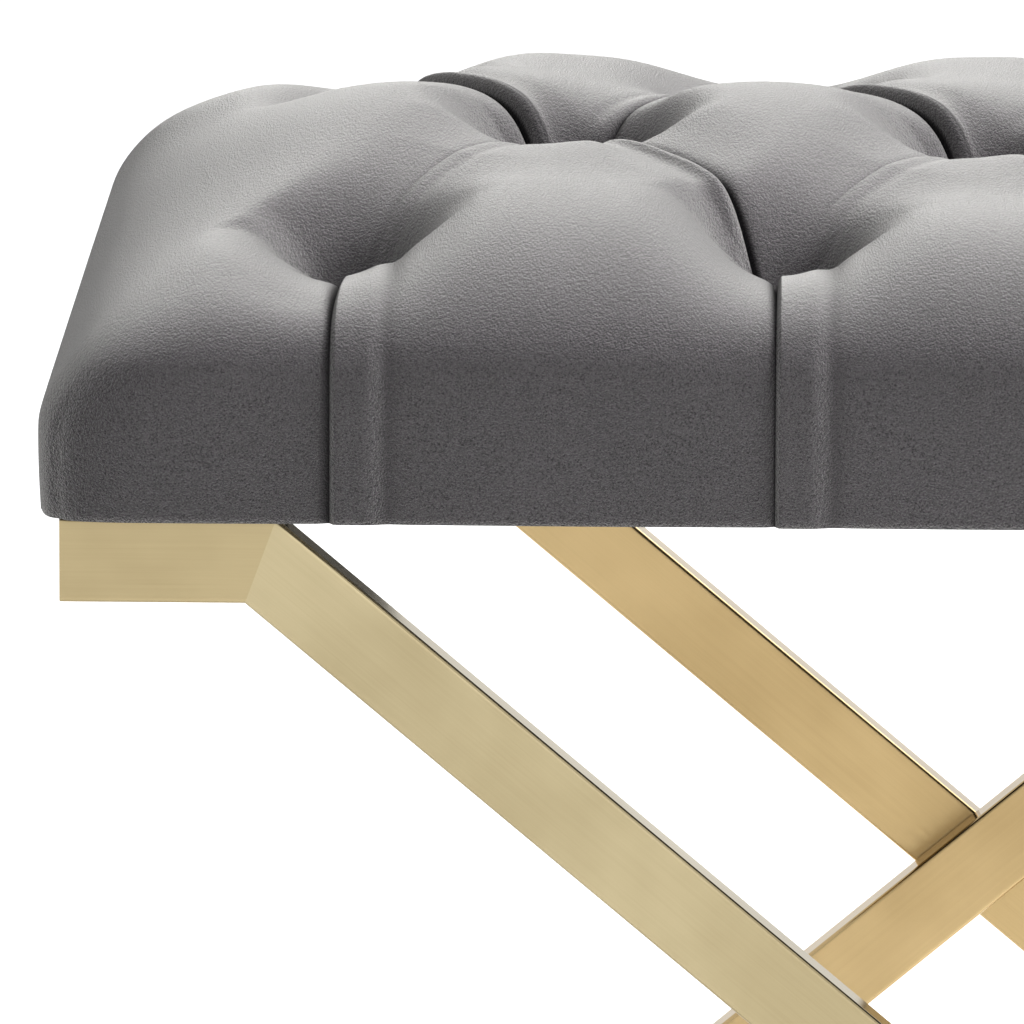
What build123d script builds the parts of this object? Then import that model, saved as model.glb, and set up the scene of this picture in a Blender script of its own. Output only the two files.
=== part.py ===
from build123d import *
from math import atan2, cos, degrees, hypot, radians, sin
import os

os.makedirs("parts", exist_ok=True)

# Flat tube stock of the frame
tube_width = 25
tube_depth = 13
tube_wall = 1.2
tube_corner = 1.5
end_plate_thickness = 2

# X frame
frame_length = 540
frame_depth = 420
frame_height = 382
rail_length = 58

# Floor glides
glide_thickness = 3
glide_radius = 5
glide_stem_radius = 2.5
glide_stem_length = 6
glide_spacing = 34
glide_end_distance = 12

# Seat pad: the side stands up, then a broad slope rounds over to the crown
end_overhang = 8
front_overhang = 9
crown_height = 90
end_side_height = 30
end_slope_run = 138
front_side_height = 43
front_slope_run = 112
slope_roundness = 1.65
slope_steps = 5
side_tuck = 1
seat_corner = 26
cover_thickness = 2.5
board_thickness = 15
board_wrap = 4
soft_clearance = 0.3

# Tufts: two outer rows of buttons and a middle row set half a pitch across
outer_row_count = 4
tuft_end_distance = 86
tuft_front_distance = 105
well_height = 44
well_bottom_radius = 12.5
well_rim_radius = 44
well_fullness = 2.4
well_sides = 12
pleat_width = 44
pleat_depth = 10
edge_pleat_width = 56
edge_pleat_depth = 26
pleat_fullness = 1.7
fold_steps = 3
tuck_width = 14
tuck_depth = 1.2

# Buttons and twine
button_radius = 11
button_edge = 2.5
button_bevel = 7
button_height = 7
twine_radius = 1
twine_sides = 6
knot_radius = 3.2
knot_height = 1.6
twine_hole_radius = 2

# Seat fixing
bolt_spacing = 240
bolt_radius = 2.5
bolt_head_radius = 4.75
bolt_head_height = 2.75
socket_radius = 1.7
socket_depth = 1.5
washer_radius = 6
washer_thickness = 1
bolt_clearance = 0.3
nut_flange_radius = 8
nut_flange_thickness = 1.5
nut_barrel_radius = 3.5
nut_barrel_length = 9
thread_clearance = 0.1

# Cloth under the seat
dust_thickness = 0.8
dust_margin = 3
dust_lap = 10

# Room that cutting shapes keep beyond the surfaces they cut
rim_allowance = 1
cut_allowance = 20

# Levels and spans that follow from the sizes above
seat_bottom = glide_thickness + frame_height
seat_length = frame_length + 2 * end_overhang
seat_depth = frame_depth + 2 * front_overhang
board_bottom = seat_bottom + cover_thickness
board_top = board_bottom + board_thickness
well_bottom = seat_bottom + well_height
rim_level = seat_bottom + crown_height + rim_allowance
above_seat = rim_level + cut_allowance
outer_layer = frame_depth / 2 - tube_depth / 2
inner_layer = outer_layer - tube_depth
cross_bar_x = frame_length / 2 - rail_length / 2
dust_half_length = cross_bar_x - tube_width / 2 - dust_margin
dust_half_depth = inner_layer - tube_depth / 2 - dust_margin
diagonal_run = frame_length - 2 * rail_length
diagonal_drop = frame_height - tube_width
diagonal_length = hypot(diagonal_run, diagonal_drop)
leg_angle = atan2(diagonal_drop, diagonal_run)

tuft_pitch = (seat_length - 2 * tuft_end_distance) / (outer_row_count - 1)
row_distance = seat_depth / 2 - tuft_front_distance
outer_row = [(column - (outer_row_count - 1) / 2) * tuft_pitch for column in range(outer_row_count)]
middle_row = [(column - (outer_row_count - 2) / 2) * tuft_pitch for column in range(outer_row_count - 1)]
outer_tufts = [(x, side * row_distance) for side in (-1, 1) for x in outer_row]
middle_tufts = [(x, 0) for x in middle_row]
tufts = outer_tufts + middle_tufts
bolts = [(sx * cross_bar_x, sy * bolt_spacing / 2) for sx in (-1, 1) for sy in (-1, 1)]
upward = (Align.CENTER, Align.CENTER, Align.MIN)
downward = (Align.CENTER, Align.CENTER, Align.MAX)


def save(part, name):
    part.label = name
    export_step(part, f"parts/{name}.step")


# Frame: each leg is a top rail, a diagonal and a foot rail, mitred end to end
def tube_section():
    with BuildSketch() as section:
        RectangleRounded(tube_depth, tube_width, tube_corner)
        Rectangle(tube_depth - 2 * tube_wall, tube_width - 2 * tube_wall, mode=Mode.SUBTRACT)
    return section.sketch


def leg_corners(hand):
    top = seat_bottom - tube_width / 2
    foot = glide_thickness + tube_width / 2
    outside = frame_length / 2
    inside = outside - rail_length
    return [(-hand * outside, top), (-hand * inside, top), (hand * inside, foot), (hand * outside, foot)]


def mitre_plane(hand, corner, layer):
    half_angle = leg_angle / 2
    return Plane(
        origin=(corner[0], layer, corner[1]),
        x_dir=(0, 1, 0),
        z_dir=(hand * cos(half_angle), 0, -sin(half_angle)),
    )


layers = {
    "front_outer": (1, -outer_layer),
    "front_inner": (-1, -inner_layer),
    "rear_outer": (1, outer_layer),
    "rear_inner": (-1, inner_layer),
}
section = tube_section()
tube_ends = []
glide_points = []
for leg, (hand, layer) in layers.items():
    corners = leg_corners(hand)
    top_mitre = mitre_plane(hand, corners[1], layer)
    foot_mitre = mitre_plane(hand, corners[2], layer)
    tube_ends += [(corners[0], layer, hand), (corners[3], layer, -hand)]
    foot_end = hand * (frame_length / 2 - glide_end_distance)
    leg_glides = [(foot_end, layer), (foot_end - hand * glide_spacing, layer)]
    glide_points += leg_glides

    with BuildPart() as top_rail:
        end = corners[0]
        with BuildSketch(Plane(origin=(end[0], layer, end[1]), x_dir=(0, 1, 0), z_dir=(hand, 0, 0))):
            add(section)
        extrude(amount=rail_length + tube_width)
        split(bisect_by=top_mitre, keep=Keep.BOTTOM)
    save(top_rail.part, f"{leg}_top_rail")

    with BuildPart() as diagonal:
        middle = (seat_bottom + glide_thickness) / 2
        slope = (hand * cos(leg_angle), 0, -sin(leg_angle))
        with BuildSketch(Plane(origin=(0, layer, middle), x_dir=(0, 1, 0), z_dir=slope)):
            add(section)
        extrude(amount=diagonal_length / 2 + tube_width, both=True)
        split(bisect_by=top_mitre, keep=Keep.TOP)
        split(bisect_by=foot_mitre, keep=Keep.BOTTOM)
    save(diagonal.part, f"{leg}_diagonal")

    with BuildPart() as foot_rail:
        end = corners[3]
        with BuildSketch(Plane(origin=(end[0], layer, end[1]), x_dir=(0, 1, 0), z_dir=(-hand, 0, 0))):
            add(section)
        extrude(amount=rail_length + tube_width)
        split(bisect_by=foot_mitre, keep=Keep.TOP)
        with Locations(*[(x, y, glide_thickness) for x, y in leg_glides]):
            Cylinder(glide_stem_radius + soft_clearance, 3 * tube_wall, mode=Mode.SUBTRACT)
    save(foot_rail.part, f"{leg}_foot_rail")

with BuildPart() as rail_end_plates:
    for corner, layer, inward in tube_ends:
        with Locations((corner[0] + inward * end_plate_thickness / 2, layer, corner[1])):
            Box(end_plate_thickness, tube_depth - 2 * tube_wall, tube_width - 2 * tube_wall)
save(rail_end_plates.part, "rail_end_plates")

# Cross bars: tubes laid flat under the seat, butted against the top rails
for name, bar_x, half_reach in (
    ("left_cross_bar", -cross_bar_x, outer_layer - tube_depth / 2),
    ("right_cross_bar", cross_bar_x, inner_layer - tube_depth / 2),
):
    with BuildPart() as cross_bar:
        bar_level = seat_bottom - tube_depth / 2
        with BuildSketch(Plane(origin=(bar_x, 0, bar_level), x_dir=(0, 0, 1), z_dir=(0, 1, 0))):
            add(section)
        extrude(amount=half_reach, both=True)
        with Locations(*[(bar_x, side * bolt_spacing / 2, bar_level) for side in (-1, 1)]):
            Cylinder(bolt_radius + bolt_clearance, 2 * tube_depth, mode=Mode.SUBTRACT)
    save(cross_bar.part, name)

with BuildPart() as floor_glides:
    with Locations(*[(x, y, 0) for x, y in glide_points]):
        Cylinder(glide_radius, glide_thickness, align=upward)
        Cylinder(glide_stem_radius, glide_thickness + glide_stem_length, align=upward)
    rims = floor_glides.edges().filter_by(GeomType.CIRCLE).group_by(Axis.Z)[0]
    chamfer(rims, length=glide_thickness / 4)
save(floor_glides.part, "floor_glides")


# Seat: one crowned form with wells and pleats, drawn at several insets for the cover and the foam
def crowned_section(half_span, slope_run, side_height, inset):
    flat_end = half_span - slope_run
    rise = crown_height - side_height
    bend = 2 / slope_roundness
    edge = [(half_span - side_tuck, seat_bottom)]
    for step in range(slope_steps + 1):
        turn = radians(90 * step / slope_steps)
        out = flat_end + slope_run * cos(turn) ** bend
        edge.append((out, seat_bottom + side_height + rise * sin(turn) ** bend))
    mirrored = [(-out, level) for out, level in reversed(edge)]
    with BuildSketch() as section:
        with BuildLine():
            Polyline(*edge, *mirrored, close=True)
        make_face()
        if inset:
            offset(amount=-inset, kind=Kind.INTERSECTION, mode=Mode.REPLACE)
    return section.sketch


def well_cutter(inset):
    floor = well_bottom - inset
    depth = rim_level - well_bottom
    reach = well_rim_radius - well_bottom_radius
    with BuildPart() as cutter:
        rings = [(well_bottom_radius + inset, floor)]
        for step in range(fold_steps + 1):
            share = step / fold_steps
            level = rim_level - inset - (depth - inset) * (1 - share) ** well_fullness
            rings.append((well_bottom_radius + inset + (reach - inset) * share, level))
        rings[1] = (well_bottom_radius + inset, floor + button_edge)
        rings.append((well_rim_radius, above_seat))
        for radius, level in rings:
            with BuildSketch(Plane.XY.offset(level)):
                RegularPolygon(radius, well_sides, major_radius=False)
        loft(ruled=True)
    return cutter.part


def pleat_cutter(half_width, depth, length, inset):
    flank = []
    for step in range(fold_steps + 1):
        share = step / fold_steps
        flank.append((half_width * share, rim_level - depth * (1 - share) ** pleat_fullness))
    mirrored = [(-out, level) for out, level in reversed(flank[1:])]
    with BuildPart() as cutter:
        with BuildSketch(Plane.YZ):
            with BuildLine():
                Polyline(*flank, (half_width, above_seat), (-half_width, above_seat), *mirrored, close=True)
            make_face()
            if inset:
                offset(amount=inset, kind=Kind.INTERSECTION, mode=Mode.REPLACE)
        extrude(amount=length)
    return cutter.part


def tufted_form(inset):
    diagonal_pleat = pleat_cutter(pleat_width, pleat_depth, hypot(tuft_pitch / 2, row_distance), inset)
    edge_pleat = pleat_cutter(edge_pleat_width, edge_pleat_depth, seat_depth / 2, inset)
    well = well_cutter(inset)
    diagonals = []
    for x, y in outer_tufts:
        for middle_x in middle_row:
            if abs(abs(middle_x - x) - tuft_pitch / 2) < tuft_pitch / 8:
                diagonals.append(Location((x, y, 0), (0, 0, degrees(atan2(-y, middle_x - x)))))
    edges = [Location((x, y, 0), (0, 0, 90 if y > 0 else -90)) for x, y in outer_tufts]
    with BuildPart() as form:
        with BuildSketch(Plane.XZ):
            add(crowned_section(seat_length / 2, end_slope_run, end_side_height, inset))
        extrude(amount=seat_depth, both=True)
        with BuildSketch(Plane.YZ):
            add(crowned_section(seat_depth / 2, front_slope_run, front_side_height, inset))
        extrude(amount=seat_length, both=True, mode=Mode.INTERSECT)
        with BuildSketch(Plane.XY.offset(seat_bottom)):
            RectangleRounded(seat_length - 2 * inset, seat_depth - 2 * inset, seat_corner - inset)
        extrude(amount=above_seat - seat_bottom, mode=Mode.INTERSECT)
        with Locations(*tufts):
            add(well, mode=Mode.SUBTRACT)
        with Locations(*diagonals):
            add(diagonal_pleat, mode=Mode.SUBTRACT)
        with Locations(*edges):
            add(edge_pleat, mode=Mode.SUBTRACT)
    return form.part


outer_form = tufted_form(0)
cover_cavity = tufted_form(cover_thickness)
foam_form = tufted_form(cover_thickness + soft_clearance)

with BuildPart() as seat_cover:
    add(outer_form)
    add(cover_cavity, mode=Mode.SUBTRACT)
    # The cloth is turned under the board and ends above the dust cover's rim
    with Locations((0, 0, seat_bottom)):
        Box(
            2 * (dust_half_length - dust_lap),
            2 * (dust_half_depth - dust_lap),
            cover_thickness,
            align=upward,
            mode=Mode.SUBTRACT,
        )
    with Locations(*[(x, y, seat_bottom) for x, y in bolts]):
        Cylinder(bolt_radius + bolt_clearance, cover_thickness, align=upward, mode=Mode.SUBTRACT)
    with Locations(*[(x, y, well_bottom) for x, y in tufts]):
        Cylinder(twine_hole_radius, 4 * cover_thickness, mode=Mode.SUBTRACT)
    # Folded tucks run from the edge pleats down the long sides
    with BuildSketch(Plane.XY.offset(seat_bottom)):
        for x, y in outer_tufts:
            face = seat_depth / 2 * (1 if y > 0 else -1)
            floor = (seat_depth / 2 - side_tuck - tuck_depth) * (1 if y > 0 else -1)
            with BuildLine():
                Polyline((x, face), (x, floor), (x + tuck_width, face), close=True)
            make_face()
    extrude(amount=front_side_height, mode=Mode.SUBTRACT)
save(seat_cover.part, "seat_cover")

# The foam wraps the edge of the board, which sits in a pocket in its underside
wrap_room = cover_thickness + soft_clearance + board_wrap
with BuildPart() as seat_foam:
    add(foam_form)
    with BuildSketch(Plane.XY.offset(board_top)):
        edge = 2 * (wrap_room - soft_clearance)
        RectangleRounded(seat_length - edge, seat_depth - edge, seat_corner - edge / 2)
    extrude(amount=-board_thickness, mode=Mode.SUBTRACT)
    with Locations(*[(x, y, board_top) for x, y in tufts]):
        Cylinder(twine_hole_radius, 2 * well_height, mode=Mode.SUBTRACT)
save(seat_foam.part, "seat_foam")

with BuildPart() as seat_board:
    with BuildSketch(Plane.XY.offset(board_bottom)):
        edge = 2 * wrap_room
        RectangleRounded(seat_length - edge, seat_depth - edge, seat_corner - wrap_room)
    extrude(amount=board_thickness)
    with Locations(*[(x, y, board_top) for x, y in tufts]):
        Hole(twine_hole_radius)
    with Locations(*[(x, y, board_top) for x, y in bolts]):
        CounterBoreHole(
            nut_barrel_radius + thread_clearance,
            nut_flange_radius + soft_clearance,
            nut_flange_thickness,
        )
save(seat_board.part, "seat_board")

with BuildPart() as button:
    with Locations((0, 0, well_bottom)):
        Cylinder(button_radius, button_height, align=upward)
    crown = button.edges().filter_by(GeomType.CIRCLE).group_by(Axis.Z)[-1]
    chamfer(crown, length=button_height - button_edge, length2=button_bevel)

with BuildPart() as tuft_buttons:
    with Locations(*tufts):
        add(button.part)
save(tuft_buttons.part, "tuft_buttons")

with BuildPart() as tufting_twines:
    for radius, length in ((twine_radius, well_bottom - board_bottom + knot_height), (knot_radius, knot_height)):
        with BuildSketch(Plane.XY.offset(board_bottom - knot_height)):
            with Locations(*tufts):
                RegularPolygon(radius, twine_sides)
        extrude(amount=length)
save(tufting_twines.part, "tufting_twines")

with BuildPart() as t_nuts:
    with Locations(*[(x, y, board_top) for x, y in bolts]):
        Cylinder(nut_flange_radius, nut_flange_thickness, align=downward)
        Cylinder(nut_barrel_radius, nut_barrel_length, align=downward)
        Cylinder(bolt_radius + thread_clearance, 4 * nut_barrel_length, mode=Mode.SUBTRACT)
save(t_nuts.part, "t_nuts")

washer_top = seat_bottom - tube_depth
head_top = washer_top - washer_thickness
with BuildPart() as bolt_washers:
    with Locations(*[(x, y, head_top) for x, y in bolts]):
        Cylinder(washer_radius, washer_thickness, align=upward)
        Cylinder(bolt_radius + bolt_clearance, 4 * washer_thickness, mode=Mode.SUBTRACT)
save(bolt_washers.part, "bolt_washers")

with BuildPart() as seat_bolts:
    with Locations(*[(x, y, head_top) for x, y in bolts]):
        Cylinder(bolt_radius, board_top - nut_flange_thickness - head_top, align=upward)
        Cylinder(bolt_head_radius, bolt_head_height, align=downward)
    with BuildSketch(Plane.XY.offset(head_top - bolt_head_height)):
        with Locations(*bolts):
            RegularPolygon(socket_radius, 6)
    extrude(amount=socket_depth, mode=Mode.SUBTRACT)
save(seat_bolts.part, "seat_bolts")

with BuildPart() as dust_cover:
    with BuildSketch(Plane.XY.offset(seat_bottom - dust_thickness)):
        Rectangle(2 * dust_half_length, 2 * dust_half_depth)
    extrude(amount=dust_thickness)
save(dust_cover.part, "dust_cover")
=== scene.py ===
import math

import bmesh
import bpy
import numpy as np
from mathutils import Matrix, Vector


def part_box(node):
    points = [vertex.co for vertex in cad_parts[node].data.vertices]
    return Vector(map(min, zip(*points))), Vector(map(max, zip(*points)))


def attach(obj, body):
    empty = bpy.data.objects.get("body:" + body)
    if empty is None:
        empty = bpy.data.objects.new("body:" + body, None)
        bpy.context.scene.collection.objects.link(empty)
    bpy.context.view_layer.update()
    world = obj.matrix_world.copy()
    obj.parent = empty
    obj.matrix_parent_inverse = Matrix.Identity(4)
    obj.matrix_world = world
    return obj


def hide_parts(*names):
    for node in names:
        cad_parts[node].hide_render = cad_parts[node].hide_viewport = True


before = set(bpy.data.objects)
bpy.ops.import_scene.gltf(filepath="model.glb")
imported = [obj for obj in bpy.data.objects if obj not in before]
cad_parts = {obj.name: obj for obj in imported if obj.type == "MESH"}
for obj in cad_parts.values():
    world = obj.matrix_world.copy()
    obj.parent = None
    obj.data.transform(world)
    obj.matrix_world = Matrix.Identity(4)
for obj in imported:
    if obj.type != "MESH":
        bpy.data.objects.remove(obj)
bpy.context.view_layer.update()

mm = 0.001


def addObject(name, data):
    made = bpy.data.objects.new(name, data)
    bpy.context.collection.objects.link(made)
    return made


# Shader maths: a socket with operators
class Sock:
    def __init__(self, tree, socket):
        self.tree = tree
        self.socket = socket

    def math(self, operation, *values):
        made = self.tree.nodes.new("ShaderNodeMath")
        made.operation = operation
        for slot, value in zip(made.inputs, (self, *values)):
            feed(self.tree, slot, value)
        return Sock(self.tree, made.outputs[0])

    def __add__(self, other):
        return self.math("ADD", other)

    def __mul__(self, other):
        return self.math("MULTIPLY", other)

    def __sub__(self, other):
        return self.math("SUBTRACT", other)

    def __rsub__(self, other):
        return (self * -1.0) + other

    __radd__ = __add__
    __rmul__ = __mul__

    def smooth(self, low, high):
        return makeNode(
            self.tree, "ShaderNodeMapRange", {"interpolation_type": "SMOOTHSTEP"},
            Value=self, **{"From Min": low, "From Max": high},
        )


def feed(tree, slot, value):
    if isinstance(value, Sock):
        tree.links.new(value.socket, slot)
    else:
        slot.default_value = value


# Every other node: its type, its settings, and the values or links of its sockets
def makeNode(tree, kind, settings=None, output=0, **inputs):
    made = tree.nodes.new(kind)
    for name, value in (settings or {}).items():
        setattr(made, name, value)
    for name, value in inputs.items():
        feed(tree, made.inputs[name], value)
    return Sock(tree, made.outputs[output])


def mixColour(tree, factor, first, second):
    made = tree.nodes.new("ShaderNodeMix")
    made.data_type = "RGBA"
    feed(tree, made.inputs["Factor"], factor)
    feed(tree, made.inputs[6], first)  # sockets 6, 7 and 2 are the colour ones
    feed(tree, made.inputs[7], second)
    return Sock(tree, made.outputs[2])


def newMaterial(name):
    material = bpy.data.materials.new(name)
    material.use_nodes = True
    shader = material.node_tree.nodes["Principled BSDF"]
    return material, material.node_tree, shader


def objectCoords(tree):
    return makeNode(tree, "ShaderNodeTexCoord", output="Object")


def normalPart(tree, axis):
    normal = makeNode(tree, "ShaderNodeNewGeometry", output="Normal")
    return makeNode(tree, "ShaderNodeSeparateXYZ", output=axis, Vector=normal)


def noise(tree, vector, scale, detail, rough):
    return makeNode(
        tree, "ShaderNodeTexNoise", {"noise_dimensions": "3D"},
        Vector=vector, Scale=scale, Detail=detail, Roughness=rough,
    )


def bumpInto(tree, shader, height, strength, distance):
    relief = makeNode(
        tree, "ShaderNodeBump", Height=height, Strength=strength, Distance=distance,
    )
    feed(tree, shader.inputs["Normal"], relief)


# Velvet: short dense pile, dark where it is looked into and pale where it is looked along
def velvetMaterial():
    look = {
        "deep": (0.012, 0.010, 0.015, 1.0),
        "worn": (0.096, 0.082, 0.096, 1.0),
        "shadow": (0.011, 0.0095, 0.011, 1.0),
        "pileScale": 1700.0,
        "pileLean": (1.0, 0.25, 1.0),
        "pileStrength": 0.8,
        "pileHeight": 0.0020,
        "grainRange": (0.39, 0.61),
        "shadeScale": 11.0,
        "shadeRange": (0.32, 0.68),
        "shadeShare": 0.2,
        "speckScale": 1900.0,
        "speckRange": (0.52, 0.70),
        "speckShare": 0.48,
        "topRange": (0.1, 0.9),
        "topLoss": 0.62,  # how much flatter the pile lies on top
        "creaseShare": 0.92,
        "roughness": 0.74,
        "grainRoughness": 0.18,
        "specular": 0.15,
        "sheen": 0.97,
        "sheenTint": (1.0, 0.99, 0.96, 1.0),
        "sheenRoughness": 0.6,
    }
    material, tree, shader = newMaterial("velvet")
    place = objectCoords(tree)
    lean = makeNode(tree, "ShaderNodeMapping", Vector=place, Scale=look["pileLean"])
    pile = noise(tree, lean, look["pileScale"], 2.0, 0.7)
    specks = noise(tree, place, look["speckScale"], 1.0, 0.6).smooth(*look["speckRange"])
    shade = noise(tree, place, look["shadeScale"], 3.0, 0.5).smooth(*look["shadeRange"])
    grain = pile.smooth(*look["grainRange"])
    tone = grain * (1.0 - look["shadeShare"]) + shade * look["shadeShare"]
    feed(tree, shader.inputs["Base Color"], mixColour(tree, tone, look["deep"], look["worn"]))
    feed(tree, shader.inputs["Roughness"], look["roughness"] + grain * look["grainRoughness"])
    shader.inputs["Specular IOR Level"].default_value = look["specular"]
    shader.inputs["Sheen Weight"].default_value = look["sheen"]
    shader.inputs["Sheen Roughness"].default_value = look["sheenRoughness"]
    shader.inputs["Sheen Tint"].default_value = look["sheenTint"]
    upright = 1.0 - normalPart(tree, "Z").smooth(*look["topRange"]) * look["topLoss"]
    bumpInto(tree, shader, pile * upright, look["pileStrength"], look["pileHeight"])
    # Painted shade: the crease attribute mixes a dark matte shader into the folds, tucks and
    # wells, and the grain specks darken through the same mix
    depth = makeNode(tree, "ShaderNodeAttribute", {"attribute_name": "crease"}, output="Fac")
    paintedCreaseShade = depth * look["creaseShare"]
    dark = paintedCreaseShade.math("MAXIMUM", specks * upright * look["speckShare"])
    shadow = makeNode(tree, "ShaderNodeBsdfDiffuse", Color=look["shadow"])
    mixed = tree.nodes.new("ShaderNodeMixShader")
    feed(tree, mixed.inputs["Fac"], dark)
    feed(tree, mixed.inputs[1], Sock(tree, shader.outputs["BSDF"]))
    feed(tree, mixed.inputs[2], shadow)
    tree.links.new(mixed.outputs["Shader"], tree.nodes["Material Output"].inputs["Surface"])
    return material


# Brass-finished tube: brushed lengthwise on its broad faces, polished on its narrow ones
def tubeMaterial(name, direction, paintedLightTint):
    look = {
        "pale": (0.500, 0.395, 0.228),
        "deep": (0.370, 0.282, 0.152),
        "lineScale": (9.0, 900.0, 900.0),
        "hairScale": (27.0, 2600.0, 2600.0),
        "lineShare": 0.55,
        "streakRange": (0.28, 0.72),
        "streakShare": 0.3,
        "cloudScale": 13.0,
        "cloudRange": (0.3, 0.7),
        "broadRange": (0.75, 0.97),
        "brushedRoughness": 0.30,
        "streakRoughness": 0.16,
        "polishedRoughness": 0.07,
        "grooveStrength": 0.16,
        "grooveDepth": 0.0002,
    }
    material, tree, shader = newMaterial(name)
    crosswise = abs(direction[1]) > 0.5
    turn = (0.0, -math.atan2(direction[2], direction[0]), 0.0)
    if crosswise:
        turn = (0.0, 0.0, -math.pi / 2)
    place = objectCoords(tree)
    turned = makeNode(
        tree, "ShaderNodeMapping", {"vector_type": "TEXTURE"}, Vector=place, Rotation=turn,
    )
    coarse = makeNode(tree, "ShaderNodeMapping", Vector=turned, Scale=look["lineScale"])
    fine = makeNode(tree, "ShaderNodeMapping", Vector=turned, Scale=look["hairScale"])
    lines = noise(tree, coarse, 1.0, 3.0, 0.6)
    hair = noise(tree, fine, 1.0, 2.0, 0.6)
    cloud = noise(tree, place, look["cloudScale"], 3.0, 0.55).smooth(*look["cloudRange"])
    facing = normalPart(tree, "Z" if crosswise else "Y")
    broad = facing.math("ABSOLUTE").smooth(*look["broadRange"])
    streak = lines * look["lineShare"] + hair * (1.0 - look["lineShare"])
    streak = streak.smooth(*look["streakRange"])
    tone = streak * look["streakShare"] + cloud * (1.0 - look["streakShare"])
    # Painted light: the brass colours are scaled by this tube's tint for how light falls on it
    deep, pale = (
        [share * part for share, part in zip(paintedLightTint, look[key])] + [1.0]
        for key in ("deep", "pale")
    )
    feed(tree, shader.inputs["Base Color"], mixColour(tree, tone, deep, pale))
    polished = look["polishedRoughness"]
    brushed = streak * look["streakRoughness"] + look["brushedRoughness"]
    feed(tree, shader.inputs["Roughness"], (brushed - polished) * broad + polished)
    shader.inputs["Metallic"].default_value = 1.0
    grooves = (lines * 0.5 + hair * 0.5) * broad
    bumpInto(tree, shader, grooves, look["grooveStrength"], look["grooveDepth"])
    return material


def plainFibre(name, dark, pale, scale, roughness):
    look = {
        "fibreRange": (0.3, 0.7),
        "fibreShare": 0.7,
        "patchSize": 30.0,  # in fibres
        "fibreRoughness": 0.1,
        "reliefStrength": 0.4,
        "reliefHeight": 0.0006,
    }
    material, tree, shader = newMaterial(name)
    place = objectCoords(tree)
    fibres = noise(tree, place, scale, 3.0, 0.65)
    patches = noise(tree, place, scale / look["patchSize"], 2.0, 0.5)
    tone = fibres.smooth(*look["fibreRange"]) * look["fibreShare"]
    tone = tone + patches * (1.0 - look["fibreShare"])
    feed(tree, shader.inputs["Base Color"], mixColour(tree, tone, dark, pale))
    feed(tree, shader.inputs["Roughness"], roughness + fibres * look["fibreRoughness"])
    bumpInto(tree, shader, fibres, look["reliefStrength"], look["reliefHeight"])
    return material


def plywoodMaterial():
    look = {
        "dark": (0.40, 0.26, 0.13, 1.0),
        "pale": (0.62, 0.45, 0.26, 1.0),
        "grainScale": (12.0, 260.0, 900.0),
        "grainRange": (0.3, 0.7),
        "roughness": 0.6,
        "grainRoughness": 0.2,
        "reliefStrength": 0.3,
        "reliefHeight": 0.0004,
    }
    material, tree, shader = newMaterial("plywood")
    place = objectCoords(tree)
    stretched = makeNode(tree, "ShaderNodeMapping", Vector=place, Scale=look["grainScale"])
    grain = noise(tree, stretched, 1.0, 4.0, 0.6)
    tone = grain.smooth(*look["grainRange"])
    feed(tree, shader.inputs["Base Color"], mixColour(tree, tone, look["dark"], look["pale"]))
    feed(tree, shader.inputs["Roughness"], look["roughness"] + tone * look["grainRoughness"])
    bumpInto(tree, shader, grain, look["reliefStrength"], look["reliefHeight"])
    return material


def zincMaterial():
    look = {
        "dull": (0.52, 0.52, 0.50, 1.0),
        "bright": (0.72, 0.72, 0.70, 1.0),
        "spangleScale": 700.0,
        "roughness": 0.24,
        "spangleRoughness": 0.2,
        "reliefStrength": 0.1,
        "reliefHeight": 0.0002,
    }
    material, tree, shader = newMaterial("zincSteel")
    spangle = noise(tree, objectCoords(tree), look["spangleScale"], 2.0, 0.5)
    colour = mixColour(tree, spangle, look["dull"], look["bright"])
    feed(tree, shader.inputs["Base Color"], colour)
    roughness = spangle * look["spangleRoughness"] + look["roughness"]
    feed(tree, shader.inputs["Roughness"], roughness)
    shader.inputs["Metallic"].default_value = 1.0
    bumpInto(tree, shader, spangle, look["reliefStrength"], look["reliefHeight"])
    return material


# Seat form: lengths in millimetres, from the seat's middle and up from its underside
tiny = 1e-9
seat = {
    "halfLength": 277.0,
    "halfDepth": 218.0,
    "crown": 87.0,
    "endRun": 128.0,
    "endSide": 25.0,
    "endRoundness": 1.74,
    "frontRun": 112.0,
    "frontSide": 44.0,
    "frontRoundness": 1.9,
    "tuckUnder": 1.0,
    "cornerLow": 16.0,
    "cornerHigh": 3.4,
    "cornerRange": (0.5, 1.0),
    "cornerSteps": 6,
    "turnRange": (0.45, 0.9),
    "liftSpread": 62.0,
    "liftRange": (20.0, 85.0),
    "normalStep": 0.6,
    "normalInset": 1.5,
    "uprightRange": (0.66, 0.84),
    "topSideways": 0.2,
    "topRange": (0.25, 0.85),
}
tuft = {
    "pitch": 128.0,
    "row": 114.0,
    "depth": 40.0,
    "buttonRoom": 5.0,
    "spread": 9.0,
    "foldReach": 0.85,  # of the pitch
    "foldDepth": 3.0,
    "foldSpread": 17.0,
    "lipSpread": 9.0,
    "innerFoldWidth": 43.0,
    "foldWidth": 56.0,
    "lipWidth": 31.0,
    "frontPleatDepth": 25.0,
    "rearPleatDepth": 25.0,
    "leastPleat": 0.6,
    "pleatRun": 132.0,
    "endPleatWidth": 52.0,
    "frontLipReach": 50.0,
    "rearLipReach": 62.0,
    "endFall": 2.5,
    "lipFall": 1.8,
    "plainFall": 1.2,
    "sectorRange": (-4.0, 2.0),
    "blend": 5.0,
    "fullness": 1.5,
    "deepest": 47.0,
    "deepestPower": 6.0,
    "wellFloor": 43.0,
    "wellEase": 2.0,
    "wellRange": (24.0, 42.0),
    "wellShade": 0.9,
    "wellShadeRange": (5.0, 12.0),
}
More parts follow.
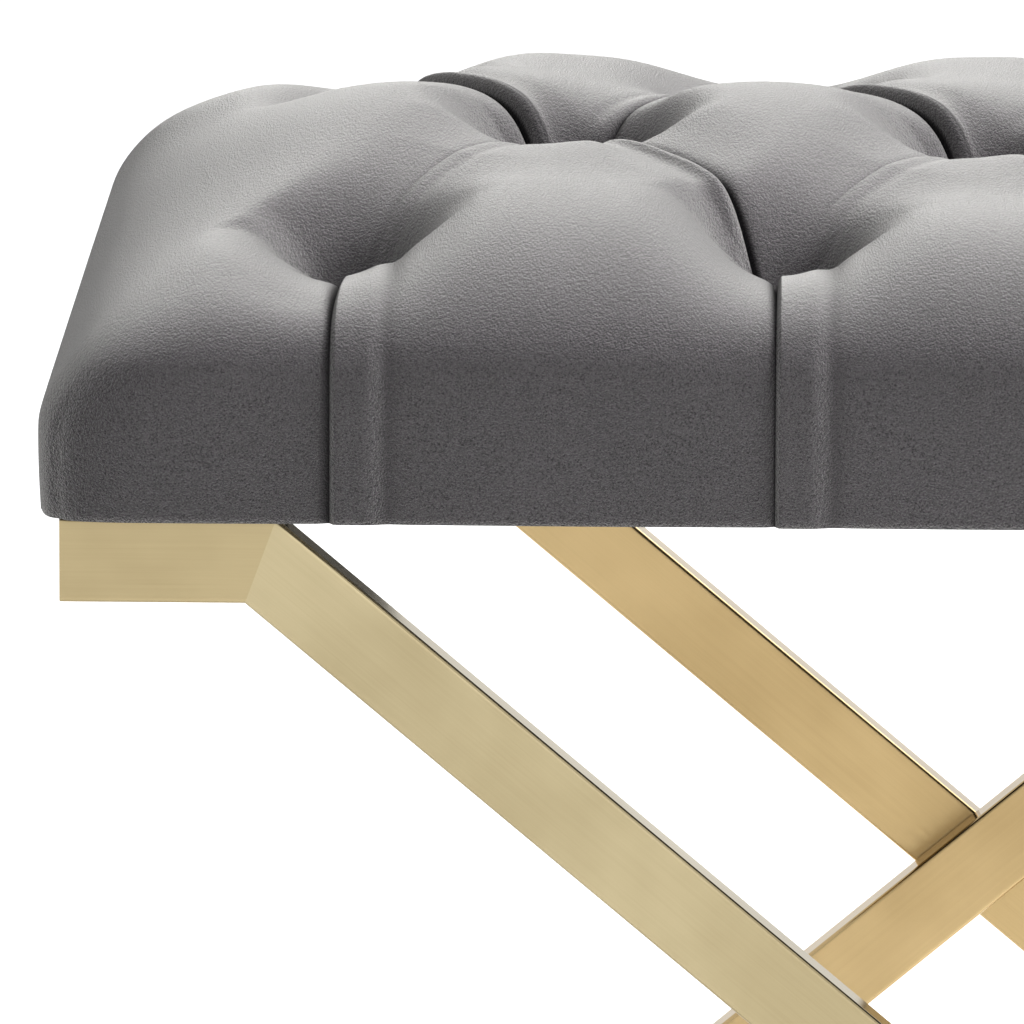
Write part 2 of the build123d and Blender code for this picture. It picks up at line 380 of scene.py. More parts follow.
# Strong folds roll over into a lip, soft ones only crease
foldEnds = {"form": (4.0, 20.0), "shade": (-2.0, 6.0)}
strongFold = {
    "creviceDepth": 5.0,
    "creviceOuter": 1.0,
    "creviceInner": 2.0,
    "lipHeight": 2.0,
    "lipAt": 4.2,
    "lipWidth": 2.6,
    "hollowDepth": 0.7,
    "hollowAt": 12.0,
    "hollowWidth": 4.5,
    "frontShade": (1.0, 2.6),
    "rearShade": (1.4, 1.2),
    "shadeCore": 0.3,
    "rolledShade": 0.35,
    "rolledRange": (3.6, 4.4),
    "edgeShade": 0.6,
    "edgeAt": 4.8,
    "edgeWidth": 0.7,
}
softFold = {
    "frontDepth": 0.6,
    "rearDepth": 2.2,
    "creaseWidth": 1.4,
    "secondDepth": 0.6,
    "secondAt": 7.0,
    "secondWidth": 2.6,
    "frontShade": 0.12,
    "rearShade": 0.7,
    "shadeWidth": 1.0,
}
# Tucks lie flat over the long edges, and a seam runs down each corner
tuck = {
    "frontFade": (6.0, 22.0),
    "rearFade": (80.0, 110.0),
    "closing": 0.62,
    "closingRange": (40.0, 105.0),
    "creviceDepth": 3.6,
    "creviceOuter": 0.4,
    "creviceInner": 1.5,
    "tongueHeight": 1.4,
    "tongueStart": (0.2, 1.6),
    "tongueEnd": (10.0, 18.0),
    "edgeDepth": 1.0,
    "edgeAt": 16.5,
    "edgeWidth": 3.4,
    "shadeFade": (4.0, 14.0),
    "shadeOuter": 0.35,
    "shadeInner": 1.1,
    "edgeShade": 0.3,
    "edgeShadeWidth": 2.4,
}
cornerSeam = {"depth": 1.6, "width": 1.6, "spacing": 110.0, "range": (0.66, 0.86)}
# How much fuller or flatter each panel is than the plain crown
panelLift = [
    (-128.0, -96.0, -4.7), (0.0, -96.0, -9.3), (128.0, -96.0, -4.7),
    (-64.0, 0.0, 3.8), (64.0, 0.0, 3.8), (-176.0, 4.0, 6.2), (176.0, 4.0, 6.2),
    (-160.0, 118.0, -0.5), (-96.0, 118.0, -8.9), (0.0, 118.0, -6.2), (128.0, 118.0, -6.2),
    (-252.0, 152.0, -3.6), (252.0, 152.0, -3.6),
]
outerColumns = [(column - 1.5) * tuft["pitch"] for column in range(4)]
middleColumns = [(column - 1.0) * tuft["pitch"] for column in range(3)]


def slopeProfile(run, side, roundness, curveSteps=80, sideSteps=24):
    turn = np.linspace(math.pi / 2, 0.0, curveSteps)
    power = 2.0 / roundness
    out = np.cos(turn) ** power
    out[0] = 0.0
    level = side + (seat["crown"] - side) * np.sin(turn) ** power
    drop = np.linspace(1.0, 0.0, sideSteps)[1:]
    out = np.concatenate([out, 1.0 - seat["tuckUnder"] / run * (1.0 - drop) ** 2])
    level = np.concatenate([level, side * drop])
    steps = np.hypot(np.diff(out) * run, np.diff(level))
    along = np.concatenate([[0.0], np.cumsum(steps)])
    length = along[-1]
    return {"share": along / length, "out": out, "level": level, "length": length, "run": run}


endSlope = slopeProfile(seat["endRun"], seat["endSide"], seat["endRoundness"])
frontSlope = slopeProfile(seat["frontRun"], seat["frontSide"], seat["frontRoundness"])
coreX = seat["halfLength"] - seat["endRun"]
coreY = seat["halfDepth"] - seat["frontRun"]
clothX = coreX + endSlope["length"]
clothY = coreY + frontSlope["length"]


def smoothStep(value, low, high):
    share = np.clip((value - low) / (high - low), 0.0, 1.0)
    return share * share * (3.0 - 2.0 * share)


def bump(value, centre, width):
    return np.exp(-(((value - centre) / width) ** 2))


# A bump on the outer side only, and a crevice that opens differently to its two sides
def outerBump(value, centre, width):
    return np.where(value > 0, bump(value, centre, width), 0.0)


def crevice(value, outer, inner):
    outerSide = np.exp(-np.maximum(value, 0.0) / outer)
    innerSide = np.exp(-np.maximum(-value, 0.0) / inner)
    return np.where(value > 0, outerSide, innerSide)


def unit(vectors):
    return vectors / np.maximum(np.linalg.norm(vectors, axis=-1, keepdims=True), tiny)


def clothAlong(distance, core, slope):
    beyond = max(abs(distance) - core, 0.0) / slope["run"]
    share = float(np.interp(beyond, slope["out"], slope["share"]))
    return math.copysign(min(abs(distance), core) + share * slope["length"], distance)


def outFrom(value, core, beyond):
    return np.sign(value) * (np.minimum(np.abs(value), core) + beyond)


def roundedReach(px, qy, squareness):
    return (px**squareness + qy**squareness) ** (1.0 / squareness)


# Each level line round the seat is a rounded rectangle, and its corners tighten downwards
def cornerReach(p, q):
    px = np.maximum(np.abs(p) - coreX, 0.0) / endSlope["length"]
    qy = np.maximum(np.abs(q) - coreY, 0.0) / frontSlope["length"]
    low, high = seat["cornerLow"], seat["cornerHigh"]
    squareness = np.full_like(px, high)
    for step in range(seat["cornerSteps"]):
        lowShare = smoothStep(roundedReach(px, qy, squareness), *seat["cornerRange"])
        squareness = 0.5 * squareness + 0.5 * (high + (low - high) * lowShare)
    return roundedReach(px, qy, squareness), px, qy, squareness


# Straight out from the seat's sides, and fanned round its corners
def flatOutward(p, q):
    reach, px, qy, squareness = cornerReach(p, q)
    fanned = [np.sign(p) * px**squareness, np.sign(q) * qy**squareness]
    return reach, unit(np.stack(fanned, axis=-1))


# Out from the core along one axis: straight columns on the slopes, a round turn at the corners
def planOut(own, other, reach, slope):
    share = np.minimum(own, other) / np.maximum(np.maximum(own, other), tiny)
    straight = np.interp(own, slope["share"], slope["out"])
    turned = np.interp(reach, slope["share"], slope["out"]) * own / np.maximum(reach, tiny)
    return straight + (turned - straight) * smoothStep(share, *seat["turnRange"])


def baseForm(p, q):
    reach, px, qy = cornerReach(p, q)[:3]
    weight = px**2 / np.maximum(px**2 + qy**2, tiny)
    level = weight * np.interp(reach, endSlope["share"], endSlope["level"])
    level += (1.0 - weight) * np.interp(reach, frontSlope["share"], frontSlope["level"])
    level = np.where(reach < 1e-6, seat["crown"], level)
    x = outFrom(p, coreX, seat["endRun"] * planOut(px, qy, reach, endSlope))
    y = outFrom(q, coreY, seat["frontRun"] * planOut(qy, px, reach, frontSlope))
    spread = seat["liftSpread"]
    lift = sum(rise * bump(x, cx, spread) * bump(y, cy, spread) for cx, cy, rise in panelLift)
    return np.stack([x, y, level + lift * smoothStep(level, *seat["liftRange"])], axis=-1)


def baseNormal(p, q):
    step, inset = seat["normalStep"], seat["normalInset"]
    p = p - np.sign(p) * inset * (np.abs(p) > coreX)
    q = q - np.sign(q) * inset * (np.abs(q) > coreY)
    alongP = baseForm(p + step, q) - baseForm(p - step, q)
    alongQ = baseForm(p, q + step) - baseForm(p, q - step)
    normal = unit(np.cross(alongP, alongQ))
    # On the upright sides the cloth faces straight out, and turns evenly round the corners
    reach, flat = flatOutward(p, q)
    outward = np.concatenate([flat, np.zeros_like(flat[..., :1])], axis=-1)
    upright = smoothStep(reach, *seat["uprightRange"])[..., None]
    return unit(normal * (1.0 - upright) + outward * upright)


tuftRowQ = clothAlong(tuft["row"], coreY, frontSlope)
outerP = [clothAlong(x, coreX, endSlope) for x in outerColumns]
outerTufts = [(p, side * tuftRowQ) for side in (-1, 1) for p in outerP]
middleTufts = [(clothAlong(x, coreX, endSlope), 0.0) for x in middleColumns]
allTufts = outerTufts + middleTufts


def columnX(p):
    px = np.maximum(np.abs(p) - coreX, 0.0) / endSlope["length"]
    return outFrom(p, coreX, seat["endRun"] * np.interp(px, endSlope["share"], endSlope["out"]))


def foldLines():
    lines = []
    for ox, oy in outerTufts:
        for mx, my in middleTufts:
            if abs(mx - ox) < tuft["foldReach"] * tuft["pitch"]:
                lines.append({
                    "start": (ox, oy),
                    "end": (mx, my),
                    "strong": (mx - ox) * (my - oy) < 0,
                    "rear": oy > 0,
                })
    return lines


folds = foldLines()


def softPleat(distance, width):
    share = np.clip(distance / width, 0.0, 1.0)
    return (0.5 + 0.5 * np.cos(math.pi * share)) ** tuft["fullness"]


def alongFold(p, q, fold):
    (sx, sy), (ex, ey) = fold["start"], fold["end"]
    length = math.hypot(ex - sx, ey - sy)
    dx, dy = (ex - sx) / length, (ey - sy) / length
    along = (p - sx) * dx + (q - sy) * dy
    across = (p - sx) * -dy + (q - sy) * dx
    outward = math.copysign(1.0, sy) * math.copysign(1.0, dx)
    return along, across * outward, length


# How far the cloth is pulled in, as one smooth field over buttons, folds and edge pleats
def pulledIn(p, q):
    total = np.zeros_like(p)
    power, room = tuft["blend"], tuft["buttonRoom"]
    for cx, cy in allTufts:
        away = np.maximum(np.hypot(p - cx, q - cy) - room, 0.0)
        total += (tuft["depth"] * np.exp(-away / tuft["spread"])) ** power
    for fold in folds:
        along, across, length = alongFold(p, q, fold)
        inside = np.clip(along, 0.0, length)
        distance = np.hypot(across, along - inside)
        outerSpread = tuft["lipSpread"] if fold["strong"] else tuft["foldSpread"]
        outerFall = np.exp(-np.maximum(inside - room, 0.0) / outerSpread)
        middleFall = np.exp(-np.maximum(length - inside - room, 0.0) / tuft["foldSpread"])
        fall = np.maximum(outerFall, middleFall)
        valley = tuft["foldDepth"] + (tuft["depth"] - tuft["foldDepth"]) * fall
        outerWidth = tuft["lipWidth"] if fold["strong"] else tuft["foldWidth"]
        quiet = fold["rear"] and not fold["strong"]
        innerWidth = tuft["lipWidth"] if quiet else tuft["innerFoldWidth"]
        width = np.where(across > 0, outerWidth, innerWidth)
        total += (valley * softPleat(distance, width)) ** power
    for cx, cy in outerTufts:
        run = (q - cy) * math.copysign(1.0, cy)
        outside = (np.abs(cx) > tuft["pitch"]) & (np.abs(p) > np.abs(cx))
        behind = np.maximum(-run, 0.0)
        lipSide = (p - cx) * math.copysign(1.0, cy) > 0
        fall = np.where(lipSide, tuft["lipFall"], tuft["plainFall"])
        fall = np.where(outside, tuft["endFall"], fall)
        distance = np.hypot(p - cx, fall * behind)
        # Behind the row only the outer panels are pulled, not the diamonds between their folds
        spare = np.abs(p - cx) - tuft["pitch"] / (2.0 * tuft["row"]) * behind
        sector = smoothStep(spare, *tuft["sectorRange"])
        sector = np.where(outside | (run > 0), 1.0, sector)
        deepest = tuft["rearPleatDepth"] if cy > 0 else tuft["frontPleatDepth"]
        lipReach = tuft["rearLipReach"] if cy > 0 else tuft["frontLipReach"]
        valley = deepest * (1.0 - smoothStep(run, 0.0, tuft["pleatRun"])) + tuft["leastPleat"]
        width = np.where(lipSide, lipReach, tuft["pitch"] / 2)
        width = np.where(outside, tuft["endPleatWidth"], width)
        total += (sector * valley * softPleat(distance, width)) ** power
    total = total ** (1.0 / power)
    limit = tuft["deepestPower"]
    return total / (1.0 + (total / tuft["deepest"]) ** limit) ** (1.0 / limit)


def foldFade(along, length, ends):
    return smoothStep(along, *ends) * smoothStep(length - along, *ends)


# Crisp folds: a crevice with a rolled lip beside it, thin creases, and the tucks
def foldDetail(p, q):
    detail = np.zeros_like(p)
    for fold in folds:
        along, side, length = alongFold(p, q, fold)
        fade = foldFade(along, length, foldEnds["form"])
        if fold["strong"]:
            form = strongFold
            gap = crevice(side, form["creviceOuter"], form["creviceInner"])
            lip = outerBump(side, form["lipAt"], form["lipWidth"])
            hollow = outerBump(side, form["hollowAt"], form["hollowWidth"])
            shape = -form["creviceDepth"] * gap + form["lipHeight"] * lip
            shape = shape - form["hollowDepth"] * hollow
        else:
            form = softFold
            sharp = form["rearDepth"] if fold["rear"] else form["frontDepth"]
            second = outerBump(side, form["secondAt"], form["secondWidth"])
            shape = -sharp * np.exp(-np.abs(side) / form["creaseWidth"])
            shape = shape - form["secondDepth"] * second
        detail += fade * shape
    for cx, cy in outerTufts:
        run = (q - cy) * math.copysign(1.0, cy)
        fade = smoothStep(run, *tuck["rearFade" if cy > 0 else "frontFade"])
        closing = 1.0 - tuck["closing"] * smoothStep(run, *tuck["closingRange"])
        u = columnX(p) - columnX(cx)
        gap = crevice(u, tuck["creviceOuter"], tuck["creviceInner"])
        tongue = smoothStep(u, *tuck["tongueStart"]) * (1.0 - smoothStep(u, *tuck["tongueEnd"]))
        edge = outerBump(u, tuck["edgeAt"], tuck["edgeWidth"])
        shape = -tuck["creviceDepth"] * gap * closing + tuck["tongueHeight"] * tongue
        detail += fade * (shape - tuck["edgeDepth"] * edge * closing)
    px, qy = cornerReach(p, q)[1:3]
    seam = np.exp(-np.abs((px - qy) * cornerSeam["spacing"]) / cornerSeam["width"])
    low = smoothStep(np.minimum(px, qy), *cornerSeam["range"])
    return detail - cornerSeam["depth"] * seam * low


# Painted shade: how dark the velvet is painted in the crevices, creases, tucks and button
# wells, where the pile closes over itself and no light reaches
def creaseShade(p, q):
    shade = np.zeros_like(p)
    for fold in folds:
        along, side, length = alongFold(p, q, fold)
        place = "rearShade" if fold["rear"] else "frontShade"
        if fold["strong"]:
            form = strongFold
            near, far = form[place]
            outer = 1.0 - smoothStep(side, form["shadeCore"] * near, near)
            inner = 1.0 - smoothStep(-side, form["shadeCore"] * far, far)
            line = np.where(side > 0, outer, inner)
            if fold["rear"]:
                rolled = form["rolledShade"] * (1.0 - smoothStep(side, *form["rolledRange"]))
                rolled = np.where(side > 0, rolled, 0.0)
                edge = form["edgeShade"] * bump(side, form["edgeAt"], form["edgeWidth"])
                line = np.maximum(np.maximum(line, rolled), edge)
        else:
            line = softFold[place] * np.exp(-np.abs(side) / softFold["shadeWidth"])
        shade = np.maximum(shade, foldFade(along, length, foldEnds["shade"]) * line)
    for cx, cy in outerTufts:
        run = (q - cy) * math.copysign(1.0, cy)
        u = columnX(p) - columnX(cx)
        line = crevice(u, tuck["shadeOuter"], tuck["shadeInner"])
        edge = tuck["edgeShade"] * outerBump(u, tuck["edgeAt"], tuck["edgeShadeWidth"])
        shade = np.maximum(shade, smoothStep(run, *tuck["shadeFade"]) * np.maximum(line, edge))
    for cx, cy in allTufts:
        well = 1.0 - smoothStep(np.hypot(p - cx, q - cy), *tuft["wellShadeRange"])
        shade = np.maximum(shade, tuft["wellShade"] * well)
    return shade


def seatPoints(p, q, inset=0.0):
    place = baseForm(p, q)
    normal = baseNormal(p, q)
    top = seat["topSideways"]
    sideways = top + (1.0 - top) * (1.0 - smoothStep(normal[..., 2], *seat["topRange"]))
    pull = normal * np.stack([sideways, sideways, np.ones_like(sideways)], axis=-1)
    depth = pulledIn(p, q) - foldDetail(p, q) + inset
    points = place - pull * depth[..., None]
    # No well goes below its button's seat
    near = np.zeros_like(p)
    for cx, cy in allTufts:
        away = np.hypot(p - cx, q - cy)
        near = np.maximum(near, 1.0 - smoothStep(away, *tuft["wellRange"]))
    lowest = tuft["wellFloor"] - inset
    ease = tuft["wellEase"]
    eased = lowest + ease * np.logaddexp(0.0, (points[..., 2] - lowest) / ease)
    points[..., 2] += near * (eased - points[..., 2])
    return points


# Sampling: rows crowd towards the folds, and neighbouring panels share the points on them
def crowded(count, tight=0.9):
    share = np.linspace(0.0, 1.0, count + 1)
    return share - tight * np.sin(2 * math.pi * share) / (2 * math.pi)


def crowdedStart(count, first=0.25):
    share = np.linspace(0.0, 1.0, count + 1)
    return share * (first + (1.0 - first) * share)


def between(start, end, share):
    start = np.asarray(start, float)
    return start + (np.asarray(end, float) - start) * share


def blendLine(start, end, shares):
    return between(start, end, np.asarray(shares)[:, None])


hem = {"in": (0.7, 2.2, 8.0, 30.0, 58.0), "up": (-0.2, -0.1, 0.15, 0.25, 0.3), "turn": 8.0}


def withHem(points, p, q):
    direction = flatOutward(p, q)[1]
    rows = []
    for distance, up in zip(hem["in"], hem["up"]):
        row = points.copy()
        row[:, :2] -= direction * distance
        row[:, 2] = points[:, 2] * max(0.0, 1.0 - distance / hem["turn"]) + up
        rows.append(row)
    return rows


# Scales points on the cloth out to the cover's lower edge
def cornerEdge(p, q, steps=12):
    for step in range(steps):
        grow = 1.0 / np.maximum(cornerReach(p, q)[0], 1e-6)
        p = outFrom(p, coreX, np.maximum(np.abs(p) - coreX, 0.0) * grow)
        q = outFrom(q, coreY, np.maximum(np.abs(q) - coreY, 0.0) * grow)
    return p, q


def panelGrids(foldCount, pleatCount, acrossCount):
    grids = []
    foldShares = crowded(foldCount)
    pleatShares = crowdedStart(pleatCount)
    acrossShares = crowded(acrossCount)
    sides = {-1: outerTufts[:4], 1: outerTufts[4:]}
    # Panels along the long edges
    for side, row in sides.items():
        for column in range(3):
            left, right = row[column], row[column + 1]
            apex = middleTufts[column]
            rows = []
            for share in pleatShares[::-1]:
                q = left[1] + (side * clothY - left[1]) * share
                rows.append(blendLine((left[0], q), (right[0], q), acrossShares))
            for share in foldShares[1:]:
                start, end = between(left, apex, share), between(right, apex, share)
                rows.append(blendLine(start, end, acrossShares))
            grids.append({"rows": np.array(rows), "hem": True})
    # Diamonds in the middle
    for column in range(2):
        low, high = sides[-1][column + 1], sides[1][column + 1]
        left, right = middleTufts[column], middleTufts[column + 1]
        rows = []
        for share in foldShares:
            start, end = between(low, left, share), between(right, high, share)
            rows.append(blendLine(start, end, foldShares))
        grids.append({"rows": np.array(rows), "hem": False})
    # End panels, with their corners
    for end in (-1, 1):
        column = 0 if end < 0 else 3
        low, high = sides[-1][column], sides[1][column]
        middle = middleTufts[0 if end < 0 else 2]
        frontHalf = blendLine(low, middle, foldShares)
        rearHalf = blendLine(middle, high, foldShares)
        inner = np.concatenate([frontHalf, rearHalf[1:]])
        first = abs(low[0])
        leg = clothX - first
        total = 2 * leg + 2 * clothY
        run = np.linspace(0.0, 1.0, len(inner)) * total
        edgeP = np.where(run > total - leg, first + total - run, clothX)
        edgeP = np.where(run < leg, first + run, edgeP)
        edgeQ = np.clip(run - leg, 0.0, 2 * clothY) - clothY
        outer = np.stack(cornerEdge(end * edgeP, edgeQ), axis=-1)
        rows = [between(inner, outer, share) for share in pleatShares[::-1]]
        grids.append({"rows": np.array(rows), "hem": True})
    return grids


def seatMesh(name, counts, inset=0.0, floorLevel=None):
    allPoints = []
    allFaces = []
    allShade = []
    base = 0
    for grid in panelGrids(*counts):
        rows = grid["rows"]
        p, q = rows[..., 0], rows[..., 1]
        points = seatPoints(p, q, inset)
        shade = creaseShade(p, q)
        if grid["hem"]:
            under = withHem(points[0], p[0], q[0])
            points = np.concatenate([np.array(under[::-1]), points])
            shade = np.concatenate([np.zeros((len(under), shade.shape[1])), shade])
        if floorLevel is not None:
            points[..., 2] = np.maximum(points[..., 2], floorLevel)
        height, width = points.shape[:2]
        index = base + np.arange(height * width).reshape(height, width)
        corners = [index[:-1, :-1], index[:-1, 1:], index[1:, 1:], index[1:, :-1]]
        allPoints.append(points.reshape(-1, 3))
        allFaces.append(np.stack(corners, axis=-1).reshape(-1, 4))
        allShade.append(shade.ravel())
        base += height * width
    points = np.concatenate(allPoints) * mm
    points[:, 2] += seatBottom
    mesh = bpy.data.meshes.new(name)
    mesh.from_pydata(points.tolist(), [], np.concatenate(allFaces).tolist())
    # Painted shade: each point carries how dark the velvet is painted there
    crease = mesh.attributes.new("crease", "FLOAT", "POINT")
    crease.data.foreach_set("value", np.concatenate(allShade))
    work = bmesh.new()
    work.from_mesh(mesh)
    bmesh.ops.remove_doubles(work, verts=work.verts, dist=2e-5)
    bmesh.ops.dissolve_degenerate(work, dist=1e-6, edges=work.edges)
    rims = [edge for edge in work.edges if edge.is_boundary]
    bmesh.ops.holes_fill(work, edges=rims, sides=0)
    bmesh.ops.recalc_face_normals(work, faces=work.faces)
    for face in work.faces:
        face.smooth = len(face.verts) < 5  # the filled underside stays flat
    work.to_mesh(mesh)
    work.free()
    return addObject(name, mesh)


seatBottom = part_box("seat_cover")[0][2]
velvet = velvetMaterial()

cover = {"quickCounts": (60, 80, 60), "counts": (110, 150, 110)}
velvetCover = seatMesh("velvetCover", cover["counts"])
velvetCover.data.materials.append(velvet)
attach(velvetCover, "root")
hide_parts("seat_cover")
print("velvet cover", len(velvetCover.data.polygons))

foam = {
    "counts": (40, 50, 40),
    "inset": 6.0,
    "floorLevel": 17.6,
    "dark": (0.70, 0.64, 0.47, 1.0),
    "pale": (0.86, 0.81, 0.66, 1.0),
    "cellScale": 900.0,
    "roughness": 0.85,
}
foamPad = seatMesh("foamPad", foam["counts"], foam["inset"], foam["floorLevel"])
foamPad.data.materials.append(
    plainFibre("foamCells", foam["dark"], foam["pale"], foam["cellScale"], foam["roughness"])
)
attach(foamPad, "root")
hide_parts("seat_foam")
print("foam pad")


# Carried-over nodes and their materials
legTurn = {"run": 0.424, "drop": 0.357}
fallRight = (legTurn["run"], 0.0, -legTurn["drop"])
fallLeft = (legTurn["run"], 0.0, legTurn["drop"])
# Painted light: the front and rear copies of each brass tube, and the cross bar, are tinted
# apart for how light falls on them, though all are one brass finish
tubes = {
    "rail": {"way": (1.0, 0.0, 0.0), "front": (0.95, 0.98, 0.97), "rear": (1.05, 1.02, 0.92)},
    "outer": {"way": fallRight, "front": (1.05, 1.13, 1.20), "rear": (1.20, 1.14, 1.02)},
    "inner": {"way": fallLeft, "front": (0.98, 1.02, 0.92), "rear": (1.12, 1.06, 0.95)},
}
brass = {
    (side, kind): tubeMaterial(side + kind.title() + "Brass", tube["way"], tube[side])
    for kind, tube in tubes.items() for side in ("front", "rear")
}
barBrass = tubeMaterial("barBrass", (0.0, 1.0, 0.0), (1.05, 1.02, 0.92))
plain = {
    "seat_board": plywoodMaterial(),
    "dust_cover": plainFibre(
        "dustCloth", (0.010, 0.010, 0.010, 1.0), (0.045, 0.045, 0.047, 1.0), 1500.0, 0.8,
    ),
    "tufting_twines": plainFibre(
        "twineFibre", (0.45, 0.40, 0.30, 1.0), (0.70, 0.64, 0.52, 1.0), 2500.0, 0.7,
    ),
    "floor_glides": plainFibre(
        "glidePlastic", (0.012, 0.012, 0.012, 1.0), (0.03, 0.03, 0.03, 1.0), 2000.0, 0.45,
    ),
}
zinc = zincMaterial()


def materialFor(node):
    side = "rear" if node.startswith("rear") else "front"
    if node.endswith("diagonal"):
        return brass[side, "outer" if "outer" in node else "inner"]
    if node.endswith("cross_bar"):
        return barBrass
    if node.endswith(("rail", "plates")):
        return brass[side, "rail"]
    return plain.get(node, zinc)


for nodeName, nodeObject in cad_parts.items():
    if nodeName in ("seat_cover", "seat_foam", "tuft_buttons"):
        continue
    nodeObject.data.materials.clear()
    nodeObject.data.materials.append(materialFor(nodeName))
print("frame materials")


# Buttons: one domed button set on a point at the bottom of each well
button = {"radius": 0.011, "flatness": 0.42, "lift": 0.0012, "segments": 40, "rings": 24}


def buttonTree(material):
    tree = bpy.data.node_groups.new("buttonSet", "GeometryNodeTree")
    newSocket = tree.interface.new_socket
    newSocket("Geometry", in_out="INPUT", socket_type="NodeSocketGeometry")
    radius = newSocket("Radius", in_out="INPUT", socket_type="NodeSocketFloat")
    flatness = newSocket("Flatness", in_out="INPUT", socket_type="NodeSocketFloat")
    newSocket("Geometry", in_out="OUTPUT", socket_type="NodeSocketGeometry")
    entry = tree.nodes.new("NodeGroupInput")
    leave = tree.nodes.new("NodeGroupOutput")
    dome = tree.nodes.new("GeometryNodeMeshUVSphere")
    dome.inputs["Segments"].default_value = button["segments"]
    dome.inputs["Rings"].default_value = button["rings"]
    squash = tree.nodes.new("ShaderNodeCombineXYZ")
    squash.inputs["X"].default_value = 1.0
    squash.inputs["Y"].default_value = 1.0
    scale = tree.nodes.new("GeometryNodeTransform")
    place = tree.nodes.new("GeometryNodeInstanceOnPoints")
    solid = tree.nodes.new("GeometryNodeRealizeInstances")
    smooth = tree.nodes.new("GeometryNodeSetShadeSmooth")
    paint = tree.nodes.new("GeometryNodeSetMaterial")
    paint.inputs["Material"].default_value = material
    link = tree.links.new
    link(entry.outputs["Radius"], dome.inputs["Radius"])
    link(entry.outputs["Flatness"], squash.inputs["Z"])
    link(dome.outputs["Mesh"], scale.inputs["Geometry"])
    link(squash.outputs[0], scale.inputs["Scale"])
    link(entry.outputs["Geometry"], place.inputs["Points"])
    link(scale.outputs["Geometry"], place.inputs["Instance"])
    link(place.outputs["Instances"], solid.inputs["Geometry"])
    link(solid.outputs["Geometry"], smooth.inputs["Geometry"])
    link(smooth.outputs["Geometry"], paint.inputs["Geometry"])
    link(paint.outputs["Geometry"], leave.inputs["Geometry"])
    return tree, {"radius": radius.identifier, "flatness": flatness.identifier}


def growOnPoints(name, points, tree, values):
    mesh = bpy.data.meshes.new(name + "Points")
    mesh.from_pydata([tuple(point) for point in points], [], [])
    holder = addObject(name + "Points", mesh)
    modifier = holder.modifiers.new("grow", "NODES")
    modifier.node_group = tree
    for identifier, value in values.items():
        modifier[identifier] = value
    bpy.context.view_layer.update()
    shown = holder.evaluated_get(bpy.context.evaluated_depsgraph_get())
    result = bpy.data.meshes.new_from_object(shown)
    bpy.data.objects.remove(holder)
    return addObject(name, result)


tuftP, tuftQ = np.array(allTufts).T
wellFloors = seatPoints(tuftP, tuftQ) * mm
wellFloors[:, 2] += seatBottom + button["lift"]
buttonGroup, buttonInputs = buttonTree(velvet)
buttonSizes = {buttonInputs[key]: button[key] for key in ("radius", "flatness")}
buttonCaps = growOnPoints("buttonCaps", wellFloors, buttonGroup, buttonSizes)
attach(buttonCaps, "root")
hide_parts("tuft_buttons")
print("buttons")


# Stage: pale floor, white surroundings and soft lights
stage = {
    "floorReach": 60.0,
    "floorColour": (0.88, 0.88, 0.88, 1.0),
    "floorRoughness": 0.9,
    "floorGlow": 0.55,
    "white": (1.0, 1.0, 1.0, 1.0),
    "litColour": (0.82, 0.82, 0.83, 1.0),
    "litStrength": 0.23,
}
lights = {
    "topSoftbox": {
        "place": (2.4, 0.0, 2.25), "target": (0.0, 0.0, 0.45),
        "size": (2.0, 1.6), "power": 147.0, "seenInMetal": False,
    },
    "endGlow": {
        "place": (-2.4, 0.9, 0.6), "target": (-0.25, 0.0, 0.42),
        "size": (1.6, 1.2), "power": 17.0, "seenInMetal": False,
    },
    "frontFill": {
        "place": (0.6, -3.4, 1.3), "target": (0.0, 0.0, 0.35),
        "size": (2.2, 1.6), "power": 11.6, "seenInMetal": True,
    },
    "rearRim": {
        "place": (1.6, 2.4, 1.8), "target": (0.0, 0.0, 0.4),
        "size": (2.4, 1.2), "power": 30.0, "seenInMetal": True,
    },
}


def seenRays(tree):
    path = tree.nodes.new("ShaderNodeLightPath")
    return Sock(tree, path.outputs["Is Camera Ray"]) + Sock(tree, path.outputs["Is Glossy Ray"])


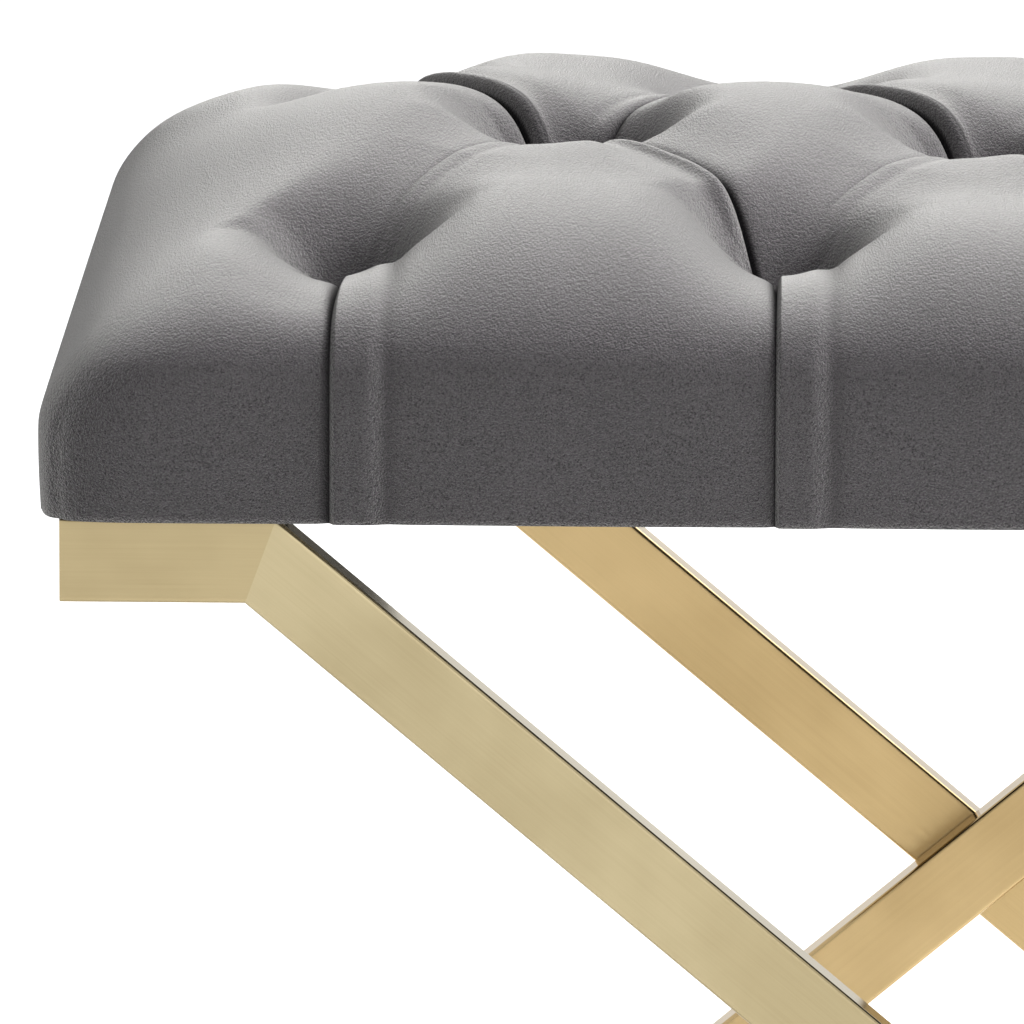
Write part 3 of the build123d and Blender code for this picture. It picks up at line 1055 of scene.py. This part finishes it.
def makeStage():
    size = stage["floorReach"]
    mesh = bpy.data.meshes.new("floor")
    corners = [(-size, -size, 0), (size, -size, 0), (size, size, 0), (-size, size, 0)]
    mesh.from_pydata(corners, [], [(0, 1, 2, 3)])
    floor = addObject("floor", mesh)
    material, tree, shader = newMaterial("paleFloor")
    shader.inputs["Base Color"].default_value = stage["floorColour"]
    shader.inputs["Roughness"].default_value = stage["floorRoughness"]
    shader.inputs["Emission Color"].default_value = stage["white"]
    feed(tree, shader.inputs["Emission Strength"], seenRays(tree) * stage["floorGlow"])
    mesh.materials.append(material)


def makeWorld():
    world = bpy.data.worlds.new("studio")
    bpy.context.scene.world = world
    world.use_nodes = True
    tree = world.node_tree
    background = tree.nodes["Background"]
    seen = seenRays(tree)
    colour = mixColour(tree, seen, stage["litColour"], stage["white"])
    strength = seen * (1.0 - stage["litStrength"]) + stage["litStrength"]
    feed(tree, background.inputs["Color"], colour)
    feed(tree, background.inputs["Strength"], strength)


def areaLight(name, place, target, size, power, seenInMetal):
    data = bpy.data.lights.new(name, "AREA")
    data.shape = "RECTANGLE"
    data.size, data.size_y = size
    data.energy = power
    light = addObject(name, data)
    light.location = place
    aim = Vector(target) - Vector(place)
    light.rotation_euler = aim.to_track_quat("-Z", "Y").to_euler()
    light.visible_glossy = seenInMetal


def makeCamera():
    view = {
        "place": (-0.0542, -3.831, 1.1042),
        "pitch": math.radians(11.19),
        "yaw": math.radians(-1.35),
        "roll": math.radians(0.21),
        "focalPixels": 12833.0,
        "framePixels": 1024.0,
        "sensor": 36.0,
        "farClip": 200.0,
    }
    data = bpy.data.cameras.new("photoCamera")
    data.sensor_fit = "HORIZONTAL"
    data.sensor_width = view["sensor"]
    data.lens = view["focalPixels"] / view["framePixels"] * data.sensor_width
    data.clip_end = view["farClip"]
    camera = addObject("photoCamera", data)
    pitch, yaw, roll = view["pitch"], view["yaw"], view["roll"]
    level = Vector((math.cos(yaw), -math.sin(yaw), 0.0))
    ahead = Vector((math.sin(yaw), math.cos(yaw), 0.0)) * math.cos(pitch)
    ahead.z = -math.sin(pitch)
    rise = level.cross(ahead)
    right = level * math.cos(roll) + rise * math.sin(roll)
    up = rise * math.cos(roll) - level * math.sin(roll)
    turn = Matrix((right, up, -ahead)).transposed()
    camera.matrix_world = Matrix.Translation(view["place"]) @ turn.to_4x4()
    bpy.context.scene.camera = camera


makeStage()
makeWorld()
for lightName, light in lights.items():
    areaLight(lightName, **light)
makeCamera()
bpy.context.scene.view_settings.view_transform = "Standard"
print("stage")
